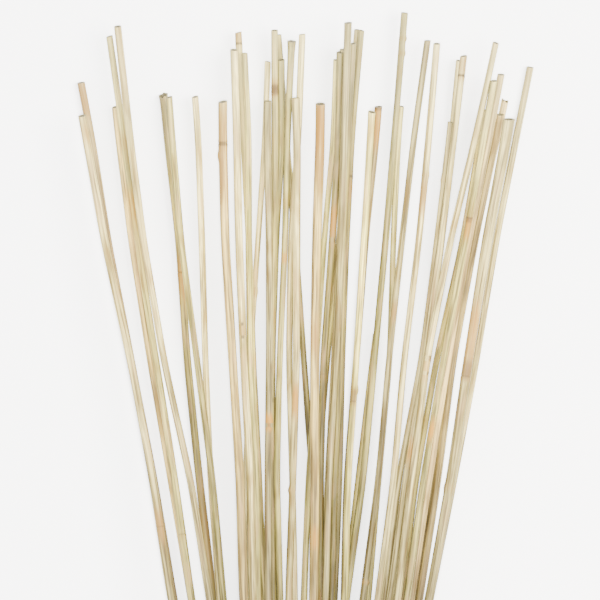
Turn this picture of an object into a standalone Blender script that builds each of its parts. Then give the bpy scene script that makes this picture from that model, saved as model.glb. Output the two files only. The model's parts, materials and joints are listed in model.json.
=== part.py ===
"""A bunch of peeled, dried reeds, lying down and held near its cut ends by a wound twine tie.

Metres, +Z up. The reeds run along +Y, fan out across X and lie on the plane Z = 0.
The origin is on that plane, below the middle of the bunch.
"""
import math

import bpy
import numpy as np

MM = 0.001

# Driving dimensions, in millimetres. Heights are distances from the cut ends, along the reeds.
TIE_HEIGHT = 85.0
TIE_WIDTH = 17.0
TIE_THICKNESS = 2.8
TIE_TURNS = 4
TURN_GROOVE = 1.1
TIE_GAP = 0.5
TIE_SLACK = 0.3
KNOT_SIZE = (13.0, 11.0, 7.2)
KNOT_LIFT = 1.2
TAIL_DIAMETER = 2.6

# The packing of the reeds: side by side and row above row at the tie, and row above row at the tips.
SLOT_PITCH = 6.5
ROW_PITCH = 5.7
TIP_ROW_PITCH = 4.4
LAYER_UNEVENNESS = 2.4
BUTT_UNEVENNESS = 13.0
BUTT_DROOP = 1.5
BUTT_SPREAD_PER_MM = 0.0012
LEAN_AT_TIE = 0.45
SINK_CURVE = 0.8
SHORT_REED_LEAN = 0.11
FLOOR_FROM_HEIGHT = 200.0
CLEARANCE = 0.52

# How finely the pieces are faceted. A ring's corners lie a little outside the round reed it stands for.
REED_SIDES = 8
CORNER_FACTOR = 1.05
LAST_RING_MARGIN = 8.0
TIE_SIDES = 24
KNOT_SIDE = 4
KNOT_RINGS = 5
KNOT_RING_SIDES = 8
TAIL_SIDES = 6

# Heights at which every reed has a ring of corners; its last ring is at its own tip.
STATIONS = np.array([-20.0, 85.0, 130.0, 205.0, 305.0, 425.0, 552.0, 648.0, 744.0, 840.0, 920.0, 1026.0])
FAN_STATION = 6
TIE_STATION = 1

# How the reeds are parted: the spacing of the places compared, how readily a reed in the fan
# gives way sideways, the overlap left at the end, and the rounds taken at least and at most.
SETTLE_STEP = 7.0
FAN_SIDEWAYS_GIVE = 0.45
SETTLE_TOLERANCE = 0.05
SETTLE_LEAST_ROUNDS = 300
SETTLE_ROUNDS = 1600

# Rows of reeds at the tie, from the lowest to the highest, and how many each holds.
ROW_SIZES = (5, 6, 7, 8, 8, 7, 5)

# Each reed, the lowest first. Millimetres: sideways place at the heights 552, 648, 744, 840 and 920,
# then the tip's sideways place and height, then the thickness at the tip and from height 552 down.
REEDS = (
    ("pinkish", (-105.4, -120.9, -139.2, -158.2, -170.8), (-179.6, 966.4), (5.2, 6.0)),
    ("olive", (-74.0, -84.8, -94.4, -101.2, -110.2), (-113.6, 956.8), (5.2, 6.8)),
    ("olive", (10.4, 6.0, -0.8, -8.0, -15.0), (-21.4, 1004.8), (4.2, 5.6)),
    ("tan", (31.2, 33.6, 41.0, 48.4, 56.8), (59.0, 947.2), (5.2, 5.4)),
    ("cream", (100.8, 119.4, 137.6, 153.4, 169.0), (180.6, 978.8), (4.8, 5.6)),

    ("tan", (-91.2, -107.2, -124.0, -139.2, -149.2), (-152.0, 946.8), (4.8, 5.8)),
    ("cream", (-48.0, -47.6, -44.0, -37.6, -32.2), (-29.8, 983.2), (3.8, 4.8)),
    ("green", (-1.0, 2.6, 8.8, 15.4, 22.6), (24.8, 984.4), (3.6, 5.4)),
    ("olive", (7.2, 10.0, 17.8, 27.2, 34.4), (41.6, 1008.8), (3.6, 5.0)),
    ("olive", (32.4, 42.6, 54.2, 66.4, 77.0), (56.0, 765.6), (4.6, 5.4)),
    ("cream", (69.6, 81.6, 96.0, 108.0, 117.2), (123.4, 984.0), (3.8, 5.2)),

    ("cream", (-68.4, -75.4, -79.6, -82.6, -85.4), (-88.0, 954.8), (4.6, 5.6)),
    ("olive", (-30.8, -35.6, -40.8, -44.2, -48.8), (-53.4, 1006.4), (4.4, 5.4)),
    ("green", (-26.8, -27.6, -27.2, -23.6, -18.8), (-19.2, 984.4), (4.8, 5.4)),
    ("olive", (23.4, 27.2, 30.0, 33.0, 37.4), (45.2, 1008.0), (4.2, 5.6)),
    ("green", (50.4, 59.2, 67.8, 70.8, 74.8), (77.2, 947.2), (4.2, 5.2)),
    ("olive", (77.2, 88.8, 105.2, 126.4, 140.4), (142.8, 944.8), (4.4, 5.6)),
    ("pinkish", (87.2, 102.0, 117.2, 134.4, 153.6), (160.4, 952.4), (4.8, 5.6)),

    ("green", (-90.4, -104.4, -119.2, -134.2, -144.8), (-156.6, 1003.2), (4.4, 6.2)),
    ("green", (-65.2, -74.2, -86.4, -99.2, -106.2), (-108.8, 954.4), (4.4, 5.8)),
    ("olive", (-25.0, -25.6, -26.6, -24.6, -23.8), (-24.4, 1008.0), (4.6, 5.6)),
    ("cream", (-8.4, -10.2, -12.6, -11.2, -5.6), (-2.2, 1004.8), (4.4, 5.4)),
    ("cream", (15.2, 18.0, 23.4, 28.2, 29.2), (30.0, 992.8), (4.0, 5.2)),
    ("green", (33.0, 46.2, 55.6, 64.6, 71.2), (79.8, 1022.0), (4.6, 5.8)),
    ("cream", (64.0, 75.6, 94.0, 106.2, 115.8), (117.2, 934.4), (4.4, 5.6)),
    ("tan", (91.0, 105.6, 118.2, 135.6, 152.2), (156.2, 940.4), (6.0, 6.6)),

    ("green", (-20.2, -23.0, -20.4, -16.2, -14.4), (-10.6, 999.2), (4.4, 5.2)),
    ("green", (-37.6, -39.4, -43.6, -45.0, -45.2), (-48.4, 989.6), (4.2, 6.0)),
    ("cream", (-29.8, -29.4, -28.4, -28.6, -30.0), (-29.8, 951.2), (5.2, 6.0)),
    ("olive", (19.2, 22.4, 27.2, 30.2, 33.8), (38.2, 997.2), (4.4, 5.4)),
    ("olive", (13.6, 12.6, 14.8, 22.2, 26.8), (28.0, 990.4), (4.8, 5.6)),
    ("cream", (46.2, 58.4, 67.2, 77.6, 86.8), (98.0, 999.6), (4.2, 5.6)),
    ("cream", (67.2, 80.4, 95.6, 108.6, 118.6), (126.6, 987.2), (4.6, 6.2)),
    ("pinkish", (84.8, 99.2, 114.2, 131.4, 147.2), (156.8, 972.4), (4.8, 6.0)),

    ("cream", (-76.4, -91.2, -112.8, -129.4, -139.6), (-149.8, 1010.8), (5.0, 5.8)),
    ("cream", (-42.0, -43.6, -49.2, -52.8, -54.4), (-56.8, 992.0), (5.2, 6.8)),
    ("cream", (-13.2, -10.0, -7.0, -6.6, -6.4), (-7.8, 953.6), (5.6, 5.6)),
    ("cream", (16.0, 19.0, 24.6, 29.0, 31.2), (34.4, 1013.6), (4.8, 5.6)),
    ("green", (32.0, 34.4, 40.8, 47.2, 52.0), (53.4, 942.4), (4.6, 5.6)),
    ("cream", (76.0, 86.4, 98.2, 117.0, 136.0), (152.6, 997.6), (4.2, 6.2)),
    ("green", (80.0, 93.2, 110.0, 127.8, 142.0), (150.8, 967.2), (4.4, 5.6)),

    ("cream", (-105.9, -121.2, -139.2, -160.0, -174.6), (-178.0, 939.2), (5.6, 6.4)),
    ("tan", (-48.8, -51.4, -57.8, -63.8, -65.6), (-65.6, 950.4), (6.4, 7.4)),
    ("tan", (6.8, 7.6, 7.8, 9.2, 12.0), (12.2, 948.8), (6.8, 7.6)),
    ("cream", (57.6, 70.4, 79.2, 90.8, 98.6), (105.4, 996.8), (4.6, 5.6)),
    ("cream", (98.8, 115.8, 130.2, 145.4, 160.4), (162.8, 936.4), (8.2, 7.4)),
)

COLOURS = {
    "cream": (0.76, 0.69, 0.50),
    "green": (0.70, 0.67, 0.44),
    "tan": (0.72, 0.56, 0.35),
    "pinkish": (0.74, 0.61, 0.45),
    "olive": (0.60, 0.54, 0.32),
    "twine": (0.45, 0.31, 0.17),
}


def clear_scene():
    for old in list(bpy.data.objects):
        bpy.data.objects.remove(old, do_unlink=True)


def material(name):
    made = bpy.data.materials.get(name)
    if made is None:
        made = bpy.data.materials.new(name)
        made.use_nodes = True
        shader = made.node_tree.nodes["Principled BSDF"]
        shader.inputs["Base Color"].default_value = (*COLOURS[name], 1.0)
        shader.inputs["Roughness"].default_value = 0.9 if name == "twine" else 0.55
        shader.inputs["Metallic"].default_value = 0.0
    return made


def thickness_radii(heights):
    """Each reed's radius at the heights given: even up to the foot of the fan, then tapering to the tip."""
    radii = []
    for _, _, (_, tip_height), (tip_size, foot_size) in REEDS:
        radii.append(np.interp(heights, (STATIONS[FAN_STATION], tip_height), (foot_size / 2, tip_size / 2)))
    return np.array(radii)


def rows_at_tie():
    """The row each reed lies in at the tie, and its sideways place in that row."""
    rows = np.repeat(np.arange(len(ROW_SIZES)), ROW_SIZES)
    feet = np.array([fan[0] for _, fan, _, _ in REEDS])
    places = np.zeros(len(REEDS))
    for row, size in enumerate(ROW_SIZES):
        members = np.flatnonzero(rows == row)
        in_order = members[np.argsort(feet[members], kind="stable")]
        places[in_order] = (np.arange(size) - (size - 1) / 2) * SLOT_PITCH
    return rows, places


def hermite(start, end, start_slope, end_slope, length, along):
    """A cubic from start to end with the slopes given, at the fraction along."""
    rise = (2 * along**3 - 3 * along**2 + 1) * start + (3 * along**2 - 2 * along**3) * end
    lean = (along**3 - 2 * along**2 + along) * start_slope + (along**3 - along**2) * end_slope
    return rise + lean * length


def wished_lines(radii):
    """Each reed's sideways place and height above the floor at every station, before they are parted."""
    rows, places = rows_at_tie()
    count = len(REEDS)
    across = np.zeros((count, len(STATIONS)))
    above = np.zeros((count, len(STATIONS)))
    foot_height = STATIONS[FAN_STATION]
    bend_length = foot_height - TIE_HEIGHT
    lifts = np.random.default_rng(11).uniform(-LAYER_UNEVENNESS, LAYER_UNEVENNESS, (count, 2))
    for index, (_, fan, (tip_place, tip_height), _) in enumerate(REEDS):
        place = places[index]
        foot_slope = (fan[1] - fan[0]) / (STATIONS[FAN_STATION + 1] - foot_height)
        tie_slope = LEAN_AT_TIE * (fan[0] - place) / bend_length
        for station, height in enumerate(STATIONS[:FAN_STATION]):
            if height < TIE_HEIGHT:
                across[index, station] = place * (1 + BUTT_SPREAD_PER_MM * (TIE_HEIGHT - height))
            else:
                along = (height - TIE_HEIGHT) / bend_length
                across[index, station] = hermite(place, fan[0], tie_slope, foot_slope, bend_length, along)
        across[index, FAN_STATION:-1] = fan
        last = STATIONS[-2]
        lean = (tip_place - fan[-1]) / (tip_height - last) if tip_height > last else SHORT_REED_LEAN
        across[index, -1] = fan[-1] + lean * (STATIONS[-1] - last)

        row = rows[index]
        tie_z = TIE_THICKNESS + TIE_GAP + radii[index, TIE_STATION] + row * ROW_PITCH
        end_z = radii[index, -1] + row * TIP_ROW_PITCH
        if row > 0:
            tie_z += lifts[index, 0] / 3
            end_z += lifts[index, 1]
        fan_share = np.clip((STATIONS - TIE_HEIGHT) / (STATIONS[-1] - TIE_HEIGHT), 0.0, 1.0)
        above[index] = tie_z + (end_z - tie_z) * fan_share**SINK_CURVE
        above[index, 0] = tie_z - BUTT_DROOP
    return across, above, rows


def settle(across, above, radii, rows):
    """Part the reeds where they touch, by small pushes, and keep the lowest row flat on the floor.

    Between two stations a reed is straight, so places at the finer steps are weighted means
    of the places at the stations.
    """
    steps = np.arange(STATIONS[0], STATIONS[-1], SETTLE_STEP)
    weights = np.array([np.interp(steps, STATIONS, unit) for unit in np.eye(len(STATIONS))]).T
    tips = np.array([tip[1] for _, _, tip, _ in REEDS])
    present = steps[None, :] < tips[:, None] + SETTLE_STEP / 2
    both = present[:, None, :] & present[None, :, :]
    both &= ~np.eye(len(REEDS), dtype=bool)[:, :, None]
    step_radii = radii @ weights.T
    needed = step_radii[:, None, :] + step_radii[None, :, :] + CLEARANCE
    floor = radii * CORNER_FACTOR * math.cos(math.pi / REED_SIDES)
    tie_floor = radii * CORNER_FACTOR + TIE_THICKNESS + TIE_GAP + TIE_SLACK
    floor[:, TIE_STATION] = tie_floor[:, TIE_STATION]
    flat = (rows == 0)[:, None] & (STATIONS > FLOOR_FROM_HEIGHT)[None, :]
    sideways_give = np.where(steps > STATIONS[FAN_STATION - 1], FAN_SIDEWAYS_GIVE, 1.0)
    spans = np.diff(STATIONS)
    before = spans[1:] / (spans[1:] + spans[:-1])
    wished = np.stack([across, above])
    moved = np.zeros_like(wished)
    for round_number in range(SETTLE_ROUNDS):
        lines = wished + moved
        lines[1] = np.where(flat, floor, np.maximum(lines[1], floor))
        moved = lines - wished
        at_steps = lines @ weights.T
        apart = at_steps[:, :, None, :] - at_steps[:, None, :, :]
        distance = np.sqrt(apart[0] ** 2 + apart[1] ** 2) + 1e-6
        short = np.where(both, np.maximum(needed - distance, 0.0), 0.0)
        if round_number > SETTLE_LEAST_ROUNDS and short.max() < SETTLE_TOLERANCE:
            break
        touching = short > 0
        push = (apart * (short / distance)).sum(axis=2)
        contacts = touching.sum(axis=1)
        push /= np.maximum(contacts, 1)
        push[0] *= sideways_give
        share = (contacts > 0) @ weights
        moved += 0.6 * (push @ weights) / np.maximum(share, 0.25)
        if round_number % 2 == 0 and round_number < 0.8 * SETTLE_ROUNDS:
            between = before * moved[:, :, :-2] + (1 - before) * moved[:, :, 2:]
            moved[:, :, 1:-1] += 0.06 * (between - moved[:, :, 1:-1])
            moved *= 0.999
    assert short.max() < SETTLE_TOLERANCE
    lines = wished + moved
    lines[1] = np.where(flat, floor, np.maximum(lines[1], floor))
    return lines[0], lines[1]


def ring_corners(centre, direction, radius, sides):
    """Corners of a regular ring square to direction, with one flat side facing down."""
    direction = direction / np.linalg.norm(direction)
    side = np.cross(direction, (0.0, 0.0, 1.0))
    side /= np.linalg.norm(side)
    up = np.cross(side, direction)
    corners = []
    for corner in range(sides):
        angle = 2 * math.pi * (corner + 0.5) / sides - math.pi / 2
        corners.append(centre + radius * (math.cos(angle) * side + math.sin(angle) * up))
    return corners


def tube_rings(path, radii, sides):
    """A ring of corners at every point of the path."""
    rings = []
    for index, point in enumerate(path):
        before = path[max(index - 1, 0)]
        after = path[min(index + 1, len(path) - 1)]
        rings.append(ring_corners(point, after - before, radii[index], sides))
    return rings


def reed_rings(across, above, tip_height, butt_height, tip_size, foot_size):
    """The rings of one reed: at its cut end, at every station well below its tip, and at its tip."""
    heights = [butt_height]
    heights += [height for height in STATIONS[1:-1] if height < tip_height - LAST_RING_MARGIN]
    heights.append(tip_height)
    path = [np.array((np.interp(h, STATIONS, across), h, np.interp(h, STATIONS, above))) for h in heights]
    sizes = np.interp(heights, (STATIONS[FAN_STATION], tip_height), (foot_size, tip_size))
    return tube_rings(path, sizes / 2 * CORNER_FACTOR, REED_SIDES)


def mesh_from(name, points, faces):
    """A mesh in metres from points in millimetres, with its faces turned outwards."""
    mesh = bpy.data.meshes.new(name)
    mesh.from_pydata([tuple(point * MM) for point in points], [], faces)
    mesh.calc_loop_triangles()
    volume = 0.0
    for triangle in mesh.loop_triangles:
        a, b, c = (mesh.vertices[v].co for v in triangle.vertices)
        volume += a.dot(b.cross(c))
    if volume < 0:
        mesh.flip_normals()
    return mesh


def tube_mesh(name, rings):
    """A closed solid through rings of equal size, with flat ends."""
    size = len(rings[0])
    faces = []
    for ring in range(len(rings) - 1):
        for corner in range(size):
            after = (corner + 1) % size
            low, high = ring * size, (ring + 1) * size
            faces.append((low + corner, low + after, high + after, high + corner))
    faces.append(tuple(reversed(range(size))))
    faces.append(tuple((len(rings) - 1) * size + corner for corner in range(size)))
    return mesh_from(name, [point for ring in rings for point in ring], faces)


def placed(name, mesh, surface, crease, location):
    """An object with its own material and smooth shading broken at edges sharper than crease."""
    mesh.materials.append(material(surface))
    mesh.shade_smooth()
    mesh.set_sharp_from_angle(angle=math.radians(crease))
    made = bpy.data.objects.new(name, mesh)
    made.location = location
    bpy.context.collection.objects.link(made)
    return made


def tie_reaches(across, above, radii):
    """How far the reeds reach from the origin within the tie's width, in each of the tie's directions."""
    heights = np.linspace(TIE_HEIGHT - TIE_WIDTH / 2, TIE_HEIGHT + TIE_WIDTH / 2, 9)
    x = np.array([np.interp(heights, STATIONS, line) for line in across])
    z = np.array([np.interp(heights, STATIONS, line) for line in above])
    edge = radii[:, TIE_STATION, None] * CORNER_FACTOR
    reaches = []
    for index in range(TIE_SIDES):
        angle = 2 * math.pi * index / TIE_SIDES
        reaches.append((x * math.cos(angle) + z * math.sin(angle) + edge).max())
    reaches[3 * TIE_SIDES // 4] = -(TIE_THICKNESS + TIE_GAP)
    return np.array(reaches)


def tie_loop(reaches, gap, height):
    """Corners of the closed loop lying the given gap outside the reeds."""
    angles = 2 * math.pi * np.arange(TIE_SIDES) / TIE_SIDES
    step = 2 * math.pi / TIE_SIDES
    corners = []
    for index, angle in enumerate(angles):
        here = reaches[index] + gap
        after = reaches[(index + 1) % TIE_SIDES] + gap
        sideways = (after - here * math.cos(step)) / math.sin(step)
        x = here * math.cos(angle) - sideways * math.sin(angle)
        z = here * math.sin(angle) + sideways * math.cos(angle)
        corners.append(np.array((x, height, z)))
    return corners


def tie_band(reaches):
    """The wound turns as one closed band, grooved between the turns."""
    low = TIE_HEIGHT - TIE_WIDTH / 2
    outer = TIE_GAP + TIE_THICKNESS
    profile = [(TIE_GAP, low + TIE_WIDTH), (TIE_GAP, low)]
    for step in range(2 * TIE_TURNS + 1):
        groove = TURN_GROOVE if step % 2 == 0 else 0.0
        profile.append((outer - groove, low + TIE_WIDTH * step / (2 * TIE_TURNS)))
    loops = [tie_loop(reaches, gap, height) for gap, height in profile]
    faces = []
    for loop in range(len(loops)):
        after_loop = (loop + 1) % len(loops)
        for corner in range(TIE_SIDES):
            after = (corner + 1) % TIE_SIDES
            faces.append((
                loop * TIE_SIDES + corner,
                loop * TIE_SIDES + after,
                after_loop * TIE_SIDES + after,
                after_loop * TIE_SIDES + corner,
            ))
    return mesh_from("tie", [corner for loop in loops for corner in loop], faces)


def fuse(body, other):
    """Join another closed solid into the body."""
    joining = body.modifiers.new("join", "BOOLEAN")
    joining.operation = "UNION"
    joining.solver = "EXACT"
    joining.object = other
    bpy.context.view_layer.update()
    evaluated = body.evaluated_get(bpy.context.evaluated_depsgraph_get())
    joined = bpy.data.meshes.new_from_object(evaluated)
    body.modifiers.clear()
    body.data = joined
    bpy.data.objects.remove(other, do_unlink=True)


def build_tie(reaches, location):
    """The band with its knot on the upper right and the two short cut ends of the twine."""
    tie = placed("tie", tie_band(reaches), "twine", 40.0, location)
    corners = tie_loop(reaches, TIE_GAP + TIE_THICKNESS, TIE_HEIGHT)
    angle = 2 * math.pi * KNOT_SIDE / TIE_SIDES
    outward = np.array((math.cos(angle), 0.0, math.sin(angle)))
    around = np.array((-math.sin(angle), 0.0, math.cos(angle)))
    along = np.array((0.0, 1.0, 0.0))
    centre = (corners[KNOT_SIDE - 1] + corners[KNOT_SIDE]) / 2 + outward * KNOT_LIFT

    knot_rings = []
    for step in range(KNOT_RINGS):
        turn = math.pi * (step + 1) / (KNOT_RINGS + 1)
        ring = []
        for corner in range(KNOT_RING_SIDES):
            spin = 2 * math.pi * corner / KNOT_RING_SIDES
            ring.append(centre
                        - around * math.cos(turn) * KNOT_SIZE[0] / 2
                        + along * math.sin(turn) * math.cos(spin) * KNOT_SIZE[1] / 2
                        + outward * math.sin(turn) * math.sin(spin) * KNOT_SIZE[2] / 2)
        knot_rings.append(ring)
    fuse(tie, placed("knot", tube_mesh("knot", knot_rings), "twine", 40.0, location))

    # Points of the two tails, from the knot's middle: around the bundle, along it and outwards.
    tails = (
        ((1.5, 0.0, 0.6), (5.0, 5.5, 2.2), (8.0, 13.0, 1.6), (10.5, 21.0, 0.6)),
        ((-1.5, 0.0, 0.6), (-5.0, -6.0, 2.4), (-7.0, -13.5, 2.2), (-8.0, -20.0, 1.6)),
    )
    for number, places in enumerate(tails):
        path = [centre + around * a + along * b + outward * c for a, b, c in places]
        radii = [TAIL_DIAMETER / 2] * len(path)
        tail_mesh = tube_mesh(f"tail_{number}", tube_rings(path, radii, TAIL_SIDES))
        fuse(tie, placed(f"tail_{number}", tail_mesh, "twine", 40.0, location))


clear_scene()
station_radii = thickness_radii(STATIONS)
wish_across, wish_above, reed_rows = wished_lines(station_radii)
reed_across, reed_above = settle(wish_across, wish_above, station_radii, reed_rows)

butt_draw = np.random.default_rng(7)
all_rings = []
for reed_number, (_, _, (_, tip_at), (tip_wide, foot_wide)) in enumerate(REEDS):
    butt_at = butt_draw.uniform(-BUTT_UNEVENNESS, BUTT_UNEVENNESS)
    line_across = reed_across[reed_number]
    line_above = reed_above[reed_number]
    all_rings.append(reed_rings(line_across, line_above, tip_at, butt_at, tip_wide, foot_wide))

cloud = np.array([corner for rings in all_rings for ring in rings for corner in ring])
middle = (cloud.min(axis=0) + cloud.max(axis=0)) / 2
to_origin = (-middle[0] * MM, -middle[1] * MM, 0.0)

for reed_number, (tone, _, _, _) in enumerate(REEDS):
    reed_name = f"reed_{reed_number + 1:02d}"
    placed(reed_name, tube_mesh(reed_name, all_rings[reed_number]), tone, 50.0, to_origin)
build_tie(tie_reaches(reed_across, reed_above, station_radii), to_origin)
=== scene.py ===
"""A bunch of dried cane reeds tied with twine, lying on a pale surface and seen from straight above."""
import json
import math

import bpy
import numpy as np
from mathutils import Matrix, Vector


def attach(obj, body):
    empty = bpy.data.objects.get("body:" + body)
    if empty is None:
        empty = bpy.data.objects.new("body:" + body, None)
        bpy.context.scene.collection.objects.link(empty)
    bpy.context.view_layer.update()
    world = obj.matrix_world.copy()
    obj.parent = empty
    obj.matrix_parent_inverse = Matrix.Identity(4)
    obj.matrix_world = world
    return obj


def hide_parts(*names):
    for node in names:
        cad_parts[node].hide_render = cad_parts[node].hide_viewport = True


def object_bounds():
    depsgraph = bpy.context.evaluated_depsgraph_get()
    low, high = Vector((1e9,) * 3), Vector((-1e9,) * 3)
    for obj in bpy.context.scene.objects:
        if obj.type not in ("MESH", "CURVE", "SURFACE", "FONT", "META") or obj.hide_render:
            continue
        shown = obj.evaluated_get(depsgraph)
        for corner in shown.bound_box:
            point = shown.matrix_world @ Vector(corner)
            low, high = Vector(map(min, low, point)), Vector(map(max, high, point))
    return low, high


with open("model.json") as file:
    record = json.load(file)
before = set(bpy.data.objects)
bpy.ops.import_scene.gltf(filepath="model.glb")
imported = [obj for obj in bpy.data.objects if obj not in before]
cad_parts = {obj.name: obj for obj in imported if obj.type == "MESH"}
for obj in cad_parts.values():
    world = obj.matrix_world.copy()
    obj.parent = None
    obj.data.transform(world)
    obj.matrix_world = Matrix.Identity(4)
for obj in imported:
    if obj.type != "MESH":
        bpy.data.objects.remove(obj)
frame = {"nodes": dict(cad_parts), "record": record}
solid_low, solid_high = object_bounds()


# The surface, the light and the view.
# The bunch lies on a matt pale board that glows a little, as a light table does. A large diffuser hangs to
# its right, turned towards it, a small lamp straight above it, and the camera far above, looking down.
PIXEL = 0.0008
VIEW_CENTRE = (-0.0044, 0.2874)
VIEW_LEVEL = 0.02
IMAGE_PIXELS = 600
LENS = 500.0
SENSOR = 36.0
BOARD = "#F7F6F3"
BOARD_REACH = 6.0
BOARD_TOOTH = 900.0
BOARD_GLOW = 1.2
SKY = "#FBFBFF"
SKY_STRENGTH = 2.7

# Each lamp's width in metres, its watts, its tint, its place, and its turn about X and Y in degrees.
LAMPS = {
    "diffuser": (2.3, 340.0, "#FFFDF8", (1.75, 0.5, 2.6), (-4.0, 33.0)),
    "fill": (0.5, 350.0, "#FBFBFF", (0.0, 0.25, 4.0), (0.0, 0.0)),
}


def linear(code):
    """An sRGB hex colour as linear red, green and blue, and a full alpha."""
    channels = [int(code[place:place + 2], 16) / 255 for place in (1, 3, 5)]
    return tuple(c / 12.92 if c <= 0.04045 else ((c + 0.055) / 1.055) ** 2.4 for c in channels) + (1.0,)


def node(tree, kind, inputs=None, **settings):
    """One node with its settings and with what feeds each of its inputs."""
    made = tree.nodes.new(kind)
    for name, value in settings.items():
        setattr(made, name, value)
    for key, value in (inputs or {}).items():
        if isinstance(value, bpy.types.NodeSocket):
            tree.links.new(value, made.inputs[key])
        else:
            made.inputs[key].default_value = value
    return made


def new_material(name):
    """An empty material with its node tree and its output."""
    made = bpy.data.materials.new(name)
    made.use_nodes = True
    made.node_tree.nodes.clear()
    output = made.node_tree.nodes.new("ShaderNodeOutputMaterial")
    return made, made.node_tree, output


board_mesh = bpy.data.meshes.new("board")
board_corners = [(BOARD_REACH * x, BOARD_REACH * y, 0.0) for x, y in ((-1, -1), (1, -1), (1, 1), (-1, 1))]
board_mesh.from_pydata(board_corners, [], [(0, 1, 2, 3)])
board = bpy.data.objects.new("board", board_mesh)
bpy.context.scene.collection.objects.link(board)

# Matt white paint on board: it scatters nearly all light, and its tooth of 1.1 mm breaks up the rest.
board_paint, tree, output = new_material("matt white paint")
board_place = node(tree, "ShaderNodeTexCoord").outputs["Object"]
tooth = node(tree, "ShaderNodeTexNoise", {"Vector": board_place, "Scale": BOARD_TOOTH}).outputs["Fac"]
grit = node(tree, "ShaderNodeBump", {"Height": tooth, "Strength": 0.04, "Distance": 0.0003}).outputs["Normal"]
surface = node(tree, "ShaderNodeBsdfPrincipled", {
    "Base Color": linear(BOARD), "Roughness": 0.95, "Specular IOR Level": 0.1, "Normal": grit,
    "Emission Color": linear(BOARD), "Emission Strength": BOARD_GLOW})
tree.links.new(surface.outputs["BSDF"], output.inputs["Surface"])
board_mesh.materials.append(board_paint)

sky = bpy.data.worlds.new("soft room")
sky.use_nodes = True
sky_light = sky.node_tree.nodes["Background"]
sky_light.inputs["Color"].default_value = linear(SKY)
sky_light.inputs["Strength"].default_value = SKY_STRENGTH
bpy.context.scene.world = sky

for name, (width, watts, tint, place, turn) in LAMPS.items():
    lamp_light = bpy.data.lights.new(name, "AREA")
    lamp_light.shape = "DISK"
    lamp_light.size = width
    lamp_light.energy = watts
    lamp_light.color = linear(tint)[:3]
    lamp = bpy.data.objects.new(name, lamp_light)
    lamp.location = place
    lamp.rotation_euler = (math.radians(turn[0]), math.radians(turn[1]), 0.0)
    bpy.context.scene.collection.objects.link(lamp)

camera_data = bpy.data.cameras.new("camera")
camera_data.lens = LENS
camera_data.sensor_width = SENSOR
camera_data.clip_end = 50.0
camera = bpy.data.objects.new("camera", camera_data)
camera.location = (*VIEW_CENTRE, VIEW_LEVEL + PIXEL * IMAGE_PIXELS * LENS / SENSOR)
bpy.context.scene.collection.objects.link(camera)
bpy.context.scene.camera = camera


# The reeds.
# Thin river cane, cut green, peeled of its leaves, dried and bleached by the sun: a smooth satin skin,
# a ring at each joint, scars where leaves and buds sat, and a square cut at both ends, some hollow.

# Their solids are rings of eight corners, more than a gap apart, each a little outside the real radius.
RING_CORNERS = 8
RING_GAP = 0.004
CORNER_FACTOR = 1.05
BEND_REACH = 0.02
FOOT_OF_REEDS = -0.50462
BUNCH_LENGTH_ROWS = 1290
FOOT_OF_VIEW = 600

# The middle of a skin is at least this many of its radii, and this many metres more, above the board.
REST_CLEARANCE = 1.03
REST_GAP = 0.0001

# A skin's rings are PLAIN_STEP apart, and closer near its tip, its cut foot, its joints and its small marks.
SIDES = 24
PLAIN_STEP = 0.006
LEAST_STEP = 0.00015
TIP_STEPS = np.arange(0.0, 0.012, 0.0006)
BUTT_STEPS = np.arange(0.0, 0.009, 0.003)
JOINT_STEPS = np.concatenate([np.arange(-0.0036, 0.0037, 0.0004), np.arange(-0.012, 0.0121, 0.002)])
SCAR_STEP = 0.0005
SMALL_MARK = 0.008
SMALL_MARK_STEPS = np.linspace(-2.2, 2.2, 15)

# The photograph shows the reeds about a pixel wider towards their tips than the solids are. The skins grow by
# up to SWELL in radius between two of its rows, and by a third of the room beyond a margin at most.
SWELL = 0.00045
SWELL_ROWS = (400, 100)
SWELL_MARGIN = 0.00012
SWELL_WINDOW = 9
HEIGHTS = np.arange(solid_low[1], solid_high[1], 0.005)

# A reed is never quite even: its thickness and its line wave a little along it, and its section is not quite
# round and turns slowly. The crumbs of a torn scar are 1.1 mm wide.
THICKNESS_WAVE = 0.022
THICKNESS_WAVE_LENGTHS = (0.021, 0.063)
SWAY = 0.00022
SWAY_LENGTH = 0.045
UNEVEN_ALONG = 9.0
CRUMBS = 900.0

# Joints below the photograph's edge: how far up the first one is, how far apart the others are, and the reach
# and strength of each joint and of the blush round it.
FIRST_JOINT = (0.10, 0.22)
JOINT_SPACING = (0.17, 0.30)
LOWER_JOINT_REACH = 0.003
LOWER_JOINT_STRENGTH = (0.5, 0.9)
LOWER_BLUSH_REACH = 0.012
LOWER_BLUSH_STRENGTH = (0.2, 0.6)

# A joint's swelling and half its length, each with what a metre of its reach adds. Then its groove and its
# colours: how strong they are, how far beyond the joint, and their reach.
JOINT_SWELLING = (0.05, 7.0)
JOINT_HALF = (0.0022, 0.4)
JOINT_GROOVE = (0.085, 0.0007, 0.00045)
JOINT_COLOURS = {"soot": (0.75, 0.0007, 0.0006), "blush": (0.5, -0.001, 0.0035)}
BUMP_HEIGHT = 0.0011
BUMP_BLUSH = 0.5

# The side that a mark is on: how much it shows across the reed, on its top, and all round. A spot shows only
# where the reed faces nearly straight that way.
TOP = (0.0, 1.0, 0.0)
LEFT = (-1.0, 0.3, 0.0)
RIGHT = (1.0, 0.3, 0.0)
AROUND = (0.0, 0.0, 1.0)
SPOT = (0.0, 8.0, -7.0)
SPOT_RIGHT = (5.6, 5.6, -7.0)

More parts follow.
